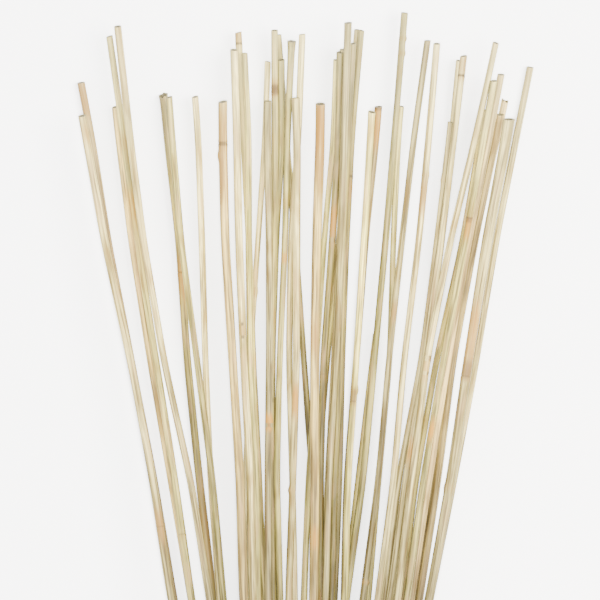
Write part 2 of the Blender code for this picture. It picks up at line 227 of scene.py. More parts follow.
# What each reed shows: kind, row of the photograph, reach in rows, strength and side.
MARKS = {
    "reed_01": (("blush", 98, 20, 0.9, AROUND), ("joint", 524, 3, 0.4, AROUND)),
    "reed_02": (("joint", 273, 4, 0.8, AROUND), ("stain", 280, 26, 0.6, TOP), ("soot", 112, 34, 0.7, LEFT),
                ("soot", 455, 60, 0.2, AROUND), ("blush", 535, 60, 0.35, AROUND)),
    "reed_03": (("soot", 420, 60, 0.3, AROUND),),
    "reed_04": (("stain", 124, 24, 0.8, AROUND), ("soot", 107, 3, 0.7, AROUND)),
    "reed_05": (("bump", 487, 5, 0.5, LEFT),),
    "reed_06": (("blush", 118, 16, 0.3, AROUND),),
    "reed_07": (("bump", 292, 4, 0.6, RIGHT), ("blush", 292, 6, 0.5, TOP)),
    "reed_08": (("soot", 420, 70, 0.3, AROUND),),
    "reed_09": (("soot", 420, 70, 0.35, AROUND),),
    "reed_11": (("blush", 260, 40, 0.3, TOP),),
    "reed_12": (("joint", 472, 3, 0.6, AROUND), ("blush", 467, 7, 0.7, TOP)),
    "reed_13": (("joint", 43.5, 3, 0.9, AROUND), ("blush", 36, 9, 0.9, AROUND),
                ("soot", 43.5, 1.0, 0.8, AROUND), ("stain", 361, 9, 0.5, TOP)),
    "reed_15": (("joint", 176, 3, 0.9, AROUND), ("soot", 420, 70, 0.3, AROUND),
                ("blush", 190, 12, 0.9, AROUND), ("soot", 176, 1.4, 0.9, AROUND)),
    "reed_18": (("blush", 150, 30, 0.5, AROUND),),
    "reed_19": (("soot", 62, 24, 0.5, RIGHT), ("stain", 207, 20, 0.65, AROUND),
                ("blush", 250, 36, 0.55, AROUND), ("joint", 535, 4, 0.7, AROUND)),
    "reed_21": (("joint", 90, 6, 0.7, AROUND), ("blush", 88, 10, 0.7, AROUND), ("soot", 89, 5, 0.5, LEFT),
                ("scar", 90, 6, 0.8, AROUND), ("soot", 400, 2.5, 0.9, SPOT)),
    "reed_24": (("bump", 38, 2.5, 0.7, RIGHT), ("bump", 53, 3, 0.7, RIGHT)),
    "reed_25": (("bump", 180, 4, 0.4, LEFT),),
    "reed_26": (("soot", 292, 12, 0.55, TOP), ("blush", 130, 20, 0.4, AROUND)),
    "reed_27": (("soot", 42, 5, 0.3, AROUND), ("stain", 258, 6, 0.9, TOP)),
    "reed_29": (("bump", 422, 4, 0.7, RIGHT), ("stain", 422, 9, 1.0, AROUND), ("soot", 425, 2.0, 0.6, SPOT)),
    "reed_31": (("blush", 225, 19, 1.0, AROUND), ("stain", 222, 15, 0.8, TOP),
                ("soot", 240, 2.5, 1.0, SPOT_RIGHT), ("joint", 375, 3, 0.5, AROUND),
                ("soot", 420, 40, 0.25, AROUND)),
    "reed_32": (("blush", 312, 10, 0.9, TOP), ("bump", 582, 2.5, 0.9, RIGHT)),
    "reed_33": (("joint", 75.5, 3, 1.0, AROUND), ("blush", 64, 10, 0.6, AROUND),
                ("soot", 75.5, 1.2, 0.9, AROUND), ("stain", 451, 12, 1.0, TOP)),
    "reed_35": (("blush", 60, 40, 0.35, AROUND), ("blush", 250, 34, 0.3, AROUND)),
    "reed_36": (("blush", 330, 8, 0.7, TOP), ("soot", 324, 1.8, 1.0, SPOT), ("soot", 337, 1.8, 1.0, SPOT)),
    "reed_37": (("blush", 400, 18, 1.0, AROUND), ("stain", 400, 14, 0.8, TOP), ("bump", 490, 3, 0.8, LEFT)),
    "reed_39": (("joint", 402, 4, 0.7, AROUND), ("bump", 390, 4, 0.8, RIGHT), ("scar", 396, 8, 0.8, TOP)),
    "reed_40": (("joint", 357, 4, 0.8, AROUND), ("stain", 368, 11, 0.6, TOP), ("scar", 358, 3.0, 1.0, RIGHT),
                ("soot", 373, 1.8, 1.0, SPOT_RIGHT)),
    "reed_41": (("joint", 219, 5, 0.8, AROUND), ("scar", 220, 3, 0.8, AROUND),
                ("stain", 230, 11, 0.9, TOP), ("stain", 430, 11, 1.0, TOP)),
    "reed_42": (("stain", 137, 12, 0.4, TOP), ("joint", 527, 3, 0.5, AROUND),
                ("blush", 525, 18, 0.8, AROUND)),
    "reed_43": (("blush", 158, 52, 0.8, AROUND), ("joint", 144, 4, 1.0, AROUND),
                ("soot", 144, 2.4, 0.7, AROUND), ("bump", 156, 5, 0.9, LEFT)),
    "reed_44": (("blush", 140, 46, 0.9, AROUND), ("stain", 127, 24, 0.7, AROUND),
                ("soot", 122, 26, 0.2, AROUND), ("blush", 337, 19, 0.9, TOP),
                ("stain", 538, 11, 0.7, TOP)),
    "reed_45": (("blush", 198, 18, 0.7, AROUND), ("bump", 175, 4, 0.5, RIGHT)),
    "reed_46": (("blush", 337, 34, 1.0, AROUND), ("stain", 330, 26, 0.6, TOP), ("joint", 377, 5, 0.7, AROUND),
                ("scar", 369, 10, 0.9, TOP), ("bump", 487, 4, 0.5, LEFT)),
}

# How each tip is cut: slant sideways, slant towards the view, ragged edge in millimetres, flare, hollow.
# The other tips are plain ones, whose slants vary by as much as the next two values say.
PLAIN_TIP = (0.1, -0.26, 0.15, 0.0, False)
SLANT_ACROSS_VARIES = (-0.25, 0.15)
SLANT_UP_VARIES = (-0.12, 0.10)
TIPS = {
    "reed_02": (0.2, -0.5, 1.6, 0.25, True),
    "reed_10": (0.5, -0.3, 0.4, 0.0, False),
    "reed_18": (0.0, -0.3, 2.8, 0.0, True),
    "reed_23": (0.1, -0.3, 1.6, 0.0, True),
    "reed_27": (0.0, -0.3, 0.4, 0.36, False),
    "reed_31": (-0.2, -0.3, 1.5, 0.0, True),
    "reed_37": (0.0, -0.15, 0.1, 0.1, False),
    "reed_38": (0.1, -0.3, 0.2, 0.12, False),
    "reed_39": (-0.15, -0.4, 0.5, 0.12, True),
    "reed_44": (0.0, -0.34, 0.3, 0.02, True),
    "reed_46": (0.12, -0.24, 0.2, 0.05, True),
}
BUTT_SLANT = -0.05
SLANT_REACH = 0.006
RAGGED_REACH = 0.003
FLARE_REACH = 0.007

# A cut end's bore and rim as shares of its radius, how deep the bore is, and how many plain ends are hollow.
# It is marked 0 on the skin, 1 on the cut face and 2 inside the bore, and a deep bore has a square floor. The
# cut face is painted dark, its own colour darkened as painted shade at the rim, and the bore nearly black as
# painted shade in the hollow.
HOLLOW_BORE = 0.62
HOLLOW_DEPTH = 0.011
SOLID_BORE = 0.5
SOLID_DEPTH = 0.0005
SHALLOW = 0.002
RIM = 0.955
HOLLOW_TIPS = 0.3
HOLLOW_BUTTS = 0.4


def level(row):
    """Distance from the cut ends of a row of the photograph."""
    return (BUNCH_LENGTH_ROWS - row) * PIXEL


def reed_line(solid):
    """Middles and radii along a reed, from the rings of corners of its solid, cut end first."""
    corners = np.array([vertex.co for vertex in solid.data.vertices])
    corners = np.unique(np.round(corners, 6), axis=0)
    corners = corners[np.argsort(corners[:, 1], kind="stable")]
    breaks = np.flatnonzero(np.diff(corners[:, 1]) > RING_GAP) + 1
    rings = [ring for ring in np.split(corners, breaks) if len(ring) == RING_CORNERS]
    middles = np.array([ring.mean(axis=0) for ring in rings])
    reaches = [np.linalg.norm(ring - ring.mean(axis=0), axis=1).mean() for ring in rings]
    return middles, np.array(reaches) / CORNER_FACTOR


def rounded(lengths, total, values, reach):
    """Values along a bent line at the lengths wanted, with its corners rounded over the reach."""
    room = np.clip(np.minimum(lengths, total[-1] - lengths), 0.0, reach)
    wanted = lengths[:, None] + np.linspace(-1.0, 1.0, 11) * room[:, None]
    return np.stack([np.interp(wanted, total, column).mean(axis=1) for column in values.T], axis=1)


def slowed(values, pick):
    """Numbers at even steps, each replaced by what is picked from the window round it."""
    padded = np.pad(values, ((0, 0), (SWELL_WINDOW // 2, SWELL_WINDOW // 2)), mode="edge")
    return pick(np.lib.stride_tricks.sliding_window_view(padded, SWELL_WINDOW, axis=1), axis=2)


def swells(lines, heights):
    """How far each reed's skin stands off its solid, a third of the room between it and any other at most."""
    absent = 1.0 + np.arange(len(lines))
    places = np.array([
        [np.interp(heights, middles[:, 1], middles[:, axis], left=far, right=far) for axis in (0, 2)]
        for far, (middles, _) in zip(absent, lines)])
    radii = np.array([np.interp(heights, middles[:, 1], radii) for middles, radii in lines])
    apart = np.linalg.norm(places[:, None] - places[None], axis=2) - radii[:, None] - radii[None]
    apart[np.diag_indices(len(lines))] = 1.0
    room = np.clip((apart.min(axis=1) - SWELL_MARGIN) / 3, 0.0, SWELL)
    room *= np.interp(heights, [FOOT_OF_REEDS + level(row) for row in SWELL_ROWS], (0.0, 1.0))
    return slowed(slowed(room, np.min), np.mean)


def bell(lengths, middle, reach):
    """A smooth hump of one at its middle that has nearly gone at twice its reach."""
    return np.exp(-(((lengths - middle) / reach) ** 2))


def reed_rows(name, solid, seed, swell):
    """Everything the reed's skin needs, one row of numbers for each ring from the cut end to the tip."""
    draw = np.random.default_rng(seed)
    middles, radii = reed_line(solid)
    steps = np.linalg.norm(np.diff(middles, axis=0), axis=1)
    total = np.concatenate(([0.0], np.cumsum(steps)))
    length = total[-1]

    marks = []
    for kind, row, reach, strength, side in MARKS.get(name, ()):
        place = np.interp(FOOT_OF_REEDS + level(row), middles[:, 1], total)
        marks.append((kind, place, reach * PIXEL, strength, side))
    place = draw.uniform(*FIRST_JOINT)
    while place < np.interp(FOOT_OF_REEDS + level(FOOT_OF_VIEW), middles[:, 1], total):
        marks.append(("joint", place, LOWER_JOINT_REACH, draw.uniform(*LOWER_JOINT_STRENGTH), AROUND))
        marks.append(("blush", place, LOWER_BLUSH_REACH, draw.uniform(*LOWER_BLUSH_STRENGTH), AROUND))
        place += draw.uniform(*JOINT_SPACING)

    places = [np.arange(0.0, length, PLAIN_STEP), length - TIP_STEPS, BUTT_STEPS]
    for kind, place, reach, _, _ in marks:
        if kind == "joint":
            places.append(place + JOINT_STEPS)
        elif kind == "scar":
            places.append(place + np.arange(-1.5 * reach, 1.5 * reach, SCAR_STEP))
        elif reach < SMALL_MARK:
            places.append(place + SMALL_MARK_STEPS * reach)
    lengths = np.unique(np.round(np.clip(np.concatenate(places), 0.0, length), 5))
    lengths = lengths[np.concatenate(([True], np.diff(lengths) > LEAST_STEP))]

    line = rounded(lengths, total, middles, BEND_REACH)
    radius = rounded(lengths, total, radii[:, None], BEND_REACH)[:, 0]
    radius += np.interp(line[:, 1], HEIGHTS, swell)
    phases = draw.uniform(0.0, 2 * math.pi, 4)
    quick, slow = (np.sin(lengths / wave + phase) for wave, phase in zip(THICKNESS_WAVE_LENGTHS, phases))
    radius *= 1 + THICKNESS_WAVE * quick * slow
    ahead = np.gradient(line, lengths, axis=0)
    ahead /= np.linalg.norm(ahead, axis=1)[:, None]
    side = np.cross(ahead, (0.0, 0.0, 1.0))
    side /= np.linalg.norm(side, axis=1)[:, None]
    lift = np.cross(side, ahead)
    sway = bell(lengths, length / 2, length / 2.4)
    line += side * (SWAY * sway * np.sin(lengths / SWAY_LENGTH + phases[2]))[:, None]

    count = len(lengths)
    shown = {key: np.zeros(count) for key in ("stain", "blush", "soot", "scar", "cut_and_bore", "ragged")}
    bump = np.zeros((count, 3))
    facing = np.tile(np.array(AROUND), (count, 1))
    for kind, place, reach, strength, turned in marks:
        near = bell(lengths, place, reach)
        if kind == "joint":
            half = JOINT_HALF[0] + JOINT_HALF[1] * reach
            swelling = JOINT_SWELLING[0] + JOINT_SWELLING[1] * reach
            radius *= 1 + swelling * strength * bell(lengths, place, half)
            deep, beyond, wide = JOINT_GROOVE
            radius *= 1 - deep * strength * bell(lengths, place + beyond, wide)
            for colour, (most, beyond, wide) in JOINT_COLOURS.items():
                tint = most * strength * bell(lengths, place + beyond, wide)
                shown[colour] = np.maximum(shown[colour], tint)
        elif kind == "bump":
            bump += np.array(turned) * BUMP_HEIGHT * strength * near[:, None]
            shown["blush"] = np.maximum(shown["blush"], BUMP_BLUSH * strength * near)
        else:
            flat = np.exp(-(((lengths - place) / reach) ** 4))
            shown[kind] = np.maximum(shown[kind], strength * flat)
            facing = np.where((flat > 0.3)[:, None], np.array(turned), facing)

    slant_across, slant_up, ragged, flare, hollow = TIPS.get(name, PLAIN_TIP)
    if name not in TIPS:
        slant_across += draw.uniform(*SLANT_ACROSS_VARIES)
        slant_up += draw.uniform(*SLANT_UP_VARIES)
        hollow = draw.uniform() < HOLLOW_TIPS
    to_tip = length - lengths
    radius *= 1 + flare * np.exp(-(to_tip / FLARE_REACH))
    tip_share = np.clip(1 - to_tip / SLANT_REACH, 0.0, 1.0)
    butt_share = np.clip(1 - lengths / SLANT_REACH, 0.0, 1.0)
    slant_upwards = slant_up * tip_share + BUTT_SLANT * butt_share
    slant = np.stack([slant_across * tip_share, slant_upwards, 0 * tip_share], axis=1)
    shown["ragged"] = ragged * 0.001 * np.clip(1 - to_tip / RAGGED_REACH, 0.0, 1.0)
    line[:, 2] += np.maximum(0.0, REST_CLEARANCE * radius + REST_GAP - line[:, 2])

    columns = {
        "middle": line, "side": side, "lift": lift, "radius": radius, "along": lengths,
        "slant": slant, "bump": bump, "facing": facing, **shown,
    }
    whole = {key: [value] for key, value in columns.items()}
    for end, inward, is_hollow in ((0, 1, draw.uniform() < HOLLOW_BUTTS), (-1, -1, hollow)):
        bore = HOLLOW_BORE if is_hollow else SOLID_BORE
        depth = HOLLOW_DEPTH if is_hollow else SOLID_DEPTH
        inner = 1.0 + is_hollow
        inwards = ((RIM, 0.0, 0.6), (bore, 0.0001, 1.0), (0.96 * bore, depth, inner), (0.0, depth, inner))
        for share, deep, cut_and_bore in inwards:
            row = {key: value[end].copy() for key, value in columns.items()}
            row["middle"] = line[end] + ahead[end] * inward * deep
            row["radius"] = radius[end] * share
            row["cut_and_bore"] = cut_and_bore
            row["bump"] = np.zeros(3)
            row["slant"] = slant[end] * (deep < SHALLOW)
            for key, value in row.items():
                whole[key].insert(0 if end == 0 else len(whole[key]), np.array(value)[None])
    return {key: np.concatenate(values) for key, values in whole.items()}


def tree_inputs(tree, wanted):
    """Name the inputs of a tree and set what each starts as."""
    for name, kind, value in wanted:
        socket = tree.interface.new_socket(name, in_out="INPUT", socket_type=kind)
        if value is not None:
            socket.default_value = value
    return node(tree, "NodeGroupInput").outputs


def laid_round(tree, rings, sides):
    """A sheet with a row of corners for each ring, their turn round it, and how to read a ring's numbers."""
    size = node(tree, "GeometryNodeAttributeDomainSize", {"Geometry": rings}, component="MESH")
    count = size.outputs["Point Count"]
    columns = node(tree, "FunctionNodeIntegerMath", {0: sides, 1: 1}, operation="ADD").outputs[0]
    sheet = node(tree, "GeometryNodeMeshGrid", {"Vertices X": columns, "Vertices Y": count}).outputs["Mesh"]
    index = node(tree, "GeometryNodeInputIndex").outputs[0]
    row = node(tree, "FunctionNodeIntegerMath", {0: index, 1: count}, operation="MODULO").outputs[0]
    column = node(tree, "FunctionNodeIntegerMath", {0: index, 1: count}, operation="DIVIDE_FLOOR").outputs[0]
    wedge = node(tree, "ShaderNodeMath", {0: -2 * math.pi, 1: sides}, operation="DIVIDE").outputs[0]
    angle = node(tree, "ShaderNodeMath", {0: column, 1: wedge}, operation="MULTIPLY").outputs[0]
    cosine = node(tree, "ShaderNodeMath", {0: angle}, operation="COSINE").outputs[0]
    sine = node(tree, "ShaderNodeMath", {0: angle}, operation="SINE").outputs[0]

    def ring(name, kind="FLOAT"):
        """A number or vector of the ring that a corner belongs to."""
        if name == "middle":
            read = node(tree, "GeometryNodeInputPosition").outputs[0]
        else:
            read = node(tree, "GeometryNodeInputNamedAttribute", {"Name": name}, data_type=kind).outputs[0]
        sample = {"Geometry": rings, "Value": read, "Index": row}
        return node(tree, "GeometryNodeSampleIndex", sample, data_type=kind).outputs["Value"]

    return sheet, angle, cosine, sine, ring


def set_out(tree, ring, cosine, sine, reach):
    """The place of a corner that stands off the line by its reach, and the direction of the line there."""
    side, lift = ring("side", "FLOAT_VECTOR"), ring("lift", "FLOAT_VECTOR")
    across = node(tree, "ShaderNodeVectorMath", {0: side, "Scale": cosine}, operation="SCALE").outputs[0]
    upwards = node(tree, "ShaderNodeVectorMath", {0: lift, "Scale": sine}, operation="SCALE").outputs[0]
    outward = node(tree, "ShaderNodeVectorMath", {0: across, 1: upwards}, operation="ADD").outputs[0]
    moved = node(tree, "ShaderNodeVectorMath", {0: outward, "Scale": reach}, operation="SCALE").outputs[0]
    middle = ring("middle", "FLOAT_VECTOR")
    corner = node(tree, "ShaderNodeVectorMath", {0: middle, 1: moved}, operation="ADD").outputs[0]
    ahead = node(tree, "ShaderNodeVectorMath", {0: lift, 1: side}, operation="CROSS_PRODUCT").outputs[0]
    return corner, ahead


def grain_place(tree, ring, cosine, sine):
    """Round and along a rod in metres, so that a pattern follows it however it bends."""
    radius, along = ring("radius"), ring("along")
    wide = node(tree, "ShaderNodeCombineXYZ", {"X": cosine, "Y": sine}).outputs[0]
    wide = node(tree, "ShaderNodeVectorMath", {0: wide, "Scale": radius}, operation="SCALE").outputs[0]
    lengthwise = node(tree, "ShaderNodeCombineXYZ", {"Z": along}).outputs[0]
    return node(tree, "ShaderNodeVectorMath", {0: wide, 1: lengthwise}, operation="ADD").outputs[0]


def finished(tree, skin, finish, kept=()):
    """The tree's result: a skin that keeps what its material reads, is closed and smooth, and has it on."""
    tree.interface.new_socket("Made", in_out="OUTPUT", socket_type="NodeSocketGeometry")
    for name, kind, value in kept:
        store = {"Geometry": skin, "Name": name, "Value": value}
        skin = node(tree, "GeometryNodeStoreNamedAttribute", store, data_type=kind, domain="POINT").outputs[0]
    skin = node(tree, "GeometryNodeMergeByDistance", {"Geometry": skin, "Distance": 0.000002}).outputs[0]
    skin = node(tree, "GeometryNodeSetShadeSmooth", {"Geometry": skin, "Shade Smooth": True}).outputs[0]
    skin = node(tree, "GeometryNodeRealizeInstances", {"Geometry": skin}).outputs[0]
    skin = node(tree, "GeometryNodeSetMaterial", {"Geometry": skin, "Material": finish}).outputs[0]
    node(tree, "NodeGroupOutput", {"Made": skin})


def rings_of(line, columns):
    """A mesh of bare points, one for each ring, that carries the rings' numbers."""
    mesh = bpy.data.meshes.new("rings")
    mesh.from_pydata([tuple(point) for point in line], [], [])
    for key, value in columns.items():
        kind, field = ("FLOAT", "value") if value.ndim == 1 else ("FLOAT_VECTOR", "vector")
        column = mesh.attributes.new(key, kind, "POINT")
        column.data.foreach_set(field, value.astype(np.float32).ravel())
    return mesh


def made_by(tree, name, mesh, values):
    """A piece with the plain mesh that a tree makes from a start and its input values."""
    piece = bpy.data.objects.new(name, mesh)
    bpy.context.scene.collection.objects.link(piece)
    maker = piece.modifiers.new(tree.name, "NODES")
    maker.node_group = tree
    for item in tree.interface.items_tree:
        if item.in_out == "INPUT" and item.name in values:
            maker[item.identifier] = values[item.name]
    made = bpy.data.meshes.new_from_object(piece.evaluated_get(bpy.context.evaluated_depsgraph_get()))
    piece.modifiers.clear()
    piece.data = made
    return piece


def skin_tree():
    """The tree that lays a closed skin round a reed, ring by ring."""
    tree = bpy.data.node_groups.new("reed skin", "GeometryNodeTree")
    given = tree_inputs(tree, (
        ("Rings", "NodeSocketGeometry", None), ("Sides", "NodeSocketInt", SIDES),
        ("Seed", "NodeSocketFloat", 0.0), ("Unevenness", "NodeSocketFloat", 0.05),
        ("Roughness of scars", "NodeSocketFloat", 0.0011), ("Finish", "NodeSocketMaterial", None)))
    seed, unevenness, crumb_height = (given[key] for key in ("Seed", "Unevenness", "Roughness of scars"))
    sheet, _, cosine, sine, ring = laid_round(tree, given["Rings"], given["Sides"])
    radius, along, torn_back = ring("radius"), ring("along"), ring("ragged")
    around = node(tree, "ShaderNodeCombineXYZ", {"X": cosine, "Y": sine}).outputs[0]
    facing = ring("facing", "FLOAT_VECTOR")
    turned = node(tree, "ShaderNodeCombineXYZ", {"X": cosine, "Y": sine, "Z": 1.0}).outputs[0]
    faced = node(tree, "ShaderNodeVectorMath", {0: facing, 1: turned}, operation="DOT_PRODUCT")
    share = node(tree, "ShaderNodeClamp", {"Value": faced.outputs["Value"]}).outputs[0]
    scar = node(tree, "ShaderNodeMath", {0: ring("scar"), 1: share}, operation="MULTIPLY").outputs[0]
    grain = grain_place(tree, ring, cosine, sine)

    # Each reed is uneven in its own way, pushed out at a bump, and rough where a scar is.
    drift = {0: along, 1: UNEVEN_ALONG, 2: seed}
    drift = node(tree, "ShaderNodeMath", drift, operation="MULTIPLY_ADD").outputs[0]
    slow = node(tree, "ShaderNodeCombineXYZ", {"X": cosine, "Y": sine, "Z": drift}).outputs[0]
    slow = node(tree, "ShaderNodeTexNoise", {"Vector": slow, "Scale": 1.1, "Detail": 1.0}).outputs["Fac"]
    slow = node(tree, "ShaderNodeMath", {0: slow, 1: 0.5}, operation="SUBTRACT").outputs[0]
    swell = {0: slow, 1: unevenness, 2: 1.0}
    swell = node(tree, "ShaderNodeMath", swell, operation="MULTIPLY_ADD").outputs[0]
    bump = ring("bump", "FLOAT_VECTOR")
    pushed = node(tree, "ShaderNodeVectorMath", {0: bump, 1: around}, operation="DOT_PRODUCT")
    pushed = {0: pushed.outputs["Value"], 1: 0.0}
    pushed = node(tree, "ShaderNodeMath", pushed, operation="MAXIMUM").outputs[0]
    reach = {0: radius, 1: swell, 2: pushed}
    reach = node(tree, "ShaderNodeMath", reach, operation="MULTIPLY_ADD").outputs[0]
    crumbs = {"Vector": grain, "Scale": CRUMBS, "Detail": 2.0}
    crumbs = node(tree, "ShaderNodeTexNoise", crumbs).outputs["Fac"]
    crumbs = node(tree, "ShaderNodeMath", {0: crumbs, 1: 0.42}, operation="SUBTRACT").outputs[0]
    crumbs = node(tree, "ShaderNodeMath", {0: crumbs, 1: crumb_height}, operation="MULTIPLY").outputs[0]
    reach = {0: crumbs, 1: scar, 2: reach}
    reach = node(tree, "ShaderNodeMath", reach, operation="MULTIPLY_ADD").outputs[0]
    corner, ahead = set_out(tree, ring, cosine, sine, reach)

    # Its ends are cut on a slant, and torn back here and there where the cut splintered.
    slant = ring("slant", "FLOAT_VECTOR")
    tilt = node(tree, "ShaderNodeVectorMath", {0: slant, 1: around}, operation="DOT_PRODUCT")
    seeded = node(tree, "ShaderNodeCombineXYZ", {"X": cosine, "Y": sine, "Z": seed}).outputs[0]
    torn = node(tree, "ShaderNodeTexNoise", {
        "Vector": seeded, "Scale": 2.6, "Detail": 3.0, "Roughness": 0.7}).outputs["Fac"]
    torn = node(tree, "ShaderNodeMapRange", {"Value": torn, 1: 0.3, 2: 0.7, 3: -0.9, 4: 0.3}).outputs[0]
    torn = node(tree, "ShaderNodeMath", {0: torn, 1: torn_back}, operation="MULTIPLY").outputs[0]
    forward = {0: tilt.outputs["Value"], 1: radius, 2: torn}
    forward = node(tree, "ShaderNodeMath", forward, operation="MULTIPLY_ADD").outputs[0]
    end_move = node(tree, "ShaderNodeVectorMath", {0: ahead, "Scale": forward}, operation="SCALE").outputs[0]
    corner = node(tree, "ShaderNodeVectorMath", {0: corner, 1: end_move}, operation="ADD").outputs[0]
    skin = node(tree, "GeometryNodeSetPosition", {"Geometry": sheet, "Position": corner}).outputs[0]

    # The height round the reed is kept for the finish, which paints shade on the underside from it.
    kept = [("grain", "FLOAT_VECTOR", grain), ("upper", "FLOAT", sine), ("cut_and_bore", "FLOAT", ring("cut_and_bore"))]
    for name in MARK_PAINTS:
        amount = node(tree, "ShaderNodeMath", {0: ring(name), 1: share}, operation="MULTIPLY").outputs[0]
        kept.append((name, "FLOAT", amount))
    finished(tree, skin, given["Finish"], kept)
    return tree


# Cane skin is a thin hard satin rind over straw-coloured fibre: a soft broad gloss along the reed.
# Its patterns: periods per metre round the reed and along it, detail and roughness. Streaks are 1.6 mm wide,
# bands 3.3 mm and patches of colour 7 by 33 mm. Real fibres, about 0.2 mm wide, are drawn at 0.4 mm to show.
PATTERNS = {
    "streaks": (640.0, 18.0, 3.0, 0.62),
    "bands": (300.0, 13.0, 2.0, 0.5),
    "patches": (150.0, 30.0, 2.0, 0.5),
    "fibres": (2400.0, 16.0, 4.0, 0.65),
}
PINK_TINGE = "#B8935C"
TAN_TINGE = "#8F6F2B"
# Painted shade: the greener colour laid over the underside of each reed.
UNDERSIDE_PAINTED_SHADE = "#ABAF72"
BLEACHED = "#B8AC78"
# The cut face's colour, darkened beyond its own as painted shade at the rim, and the bore's nearly black
# colour, painted shade in the hollow.
CUT_FACE_AND_RIM_SHADE = "#554E31"
BORE_PAINTED_SHADE = "#2E2516"

# In metres up the reed: where its foot stops being darker, a painted shade as of the crowded lower bunch,
# where the sun has bleached its tip, and how far these edges wander.
FOOT_DARKENS = (0.80, 0.53)
FOOT_SHADE = 0.40
TIP_BLEACHES = (0.86, 1.00)
EDGE_WANDERS = 0.12

# The colour of each mark, and the share of it that is left where the streaks break it up.
MARK_PAINTS = {
    "blush": ("#86642C", 0.5), "stain": ("#9A6A17", 0.5), "scar": ("#5E431F", 0.8), "soot": ("#3A2F1C", 0.7),
}


def cane(name, skin, streak, deep):
    """Dried cane: its palest skin, the colour of its streaks, and the colour of its darker stretches."""
    made, tree, output = new_material(name)
    grain = node(tree, "ShaderNodeAttribute", attribute_name="grain").outputs["Vector"]
    own, shade, upper, cut_and_bore = (
        node(tree, "ShaderNodeAttribute", attribute_name=key).outputs["Fac"]
        for key in ("own", "shade", "upper", "cut_and_bore"))
    start = node(tree, "ShaderNodeCombineXYZ", {"Z": own}).outputs[0]
    drawn = {}
    for pattern, (across, lengthwise, detail, roughness) in PATTERNS.items():
        scale = (across, across, lengthwise)
        place = node(tree, "ShaderNodeMapping", {"Vector": grain, "Scale": scale}).outputs[0]
        place = node(tree, "ShaderNodeVectorMath", {0: place, 1: start}, operation="ADD").outputs[0]
        drawn[pattern] = node(tree, "ShaderNodeTexNoise", {
            "Vector": place, "Scale": 1.0, "Detail": detail, "Roughness": roughness}).outputs["Fac"]
    streaks, bands, patches, fibres = drawn.values()
    along = node(tree, "ShaderNodeSeparateXYZ", {"Vector": grain}).outputs["Z"]
    wandering = {0: patches, 1: EDGE_WANDERS, 2: along}
    along = node(tree, "ShaderNodeMath", wandering, operation="MULTIPLY_ADD").outputs[0]
    bleach_from, bleach_to = (height + EDGE_WANDERS / 2 for height in TIP_BLEACHES)
    dark_from, dark_to = (height + EDGE_WANDERS / 2 for height in FOOT_DARKENS)

    # What lays each colour on, where that begins and where it is full, how much there is, and the colour. The
    # last is painted shade: a greener tint that grows towards the reed's underside.
    colour = linear(skin)
    for shown_by, begins, full, most, paint in (
            (bands, 0.38, 0.62, 1.0, streak), (streaks, 0.45, 0.64, 0.9, deep),
            (streaks, 0.46, 0.30, 0.7, skin), (patches, 0.54, 0.72, 0.55, PINK_TINGE),
            (patches, 0.44, 0.28, 0.6, TAN_TINGE),
            (along, bleach_from, bleach_to, 0.45, BLEACHED), (upper, 0.5, -0.5, 0.5, UNDERSIDE_PAINTED_SHADE)):
        share = node(tree, "ShaderNodeMapRange", {"Value": shown_by, 1: begins, 2: full, 4: most}).outputs[0]
        layer = {0: share, 6: colour, 7: linear(paint)}
        colour = node(tree, "ShaderNodeMix", layer, data_type="RGBA").outputs[2]

    # What makes it lighter or darker, over which range, and by how much at each end of that. The first is
    # painted light and shade: lighter on the reed's top, darker round its underside. The last darkens the
    # foot with painted shade.
    for shown_by, begins, full, first, last in (
            (upper, -0.4, 1.0, 0.84, 1.02), (fibres, 0.36, 0.64, 0.74, 1.18),
            (along, dark_from, dark_to, 1.0, FOOT_SHADE)):
        factor = node(tree, "ShaderNodeMapRange", {
            "Value": shown_by, 1: begins, 2: full, 3: first, 4: last}).outputs[0]
        scaled = {0: colour, "Scale": factor}
        colour = node(tree, "ShaderNodeVectorMath", scaled, operation="SCALE").outputs[0]
    # Each reed's own tone, which on reeds lying low in the pile is also painted light against the shade they
    # lie in.
    colour = node(tree, "ShaderNodeVectorMath", {0: colour, "Scale": shade}, operation="SCALE").outputs[0]

    laid_on = []
    for kind, (paint, least) in MARK_PAINTS.items():
        broken = node(tree, "ShaderNodeMapRange", {"Value": streaks, 1: 0.3, 2: 0.62, 3: least}).outputs[0]
        amount = node(tree, "ShaderNodeAttribute", attribute_name=kind).outputs["Fac"]
        share = node(tree, "ShaderNodeMath", {0: amount, 1: broken}, operation="MULTIPLY").outputs[0]
        laid_on.append((share, paint))
    # The cut face is laid on in its own colour darkened as painted shade, and the bore nearly black as
    # painted shade in the hollow.
    laid_on.append((node(tree, "ShaderNodeClamp", {"Value": cut_and_bore}).outputs[0], CUT_FACE_AND_RIM_SHADE))
    bore = node(tree, "ShaderNodeMapRange", {"Value": cut_and_bore, 1: 1.0, 2: 2.0, 4: 0.85}).outputs[0]
    laid_on.append((bore, BORE_PAINTED_SHADE))
    for share, paint in laid_on:
        layer = {0: share, 6: colour, 7: linear(paint)}
        colour = node(tree, "ShaderNodeMix", layer, data_type="RGBA").outputs[2]

    rough = node(tree, "ShaderNodeMapRange", {"Value": streaks, 1: 0.3, 2: 0.7, 3: 0.50, 4: 0.68}).outputs[0]
    ridge = node(tree, "ShaderNodeBump", {"Height": fibres, "Strength": 0.35, "Distance": 0.00008}).outputs[0]
    surface = node(tree, "ShaderNodeBsdfPrincipled", {
        "Base Color": colour, "Roughness": rough, "Specular IOR Level": 0.22, "Normal": ridge})
    tree.links.new(surface.outputs["BSDF"], output.inputs["Surface"])
    return made


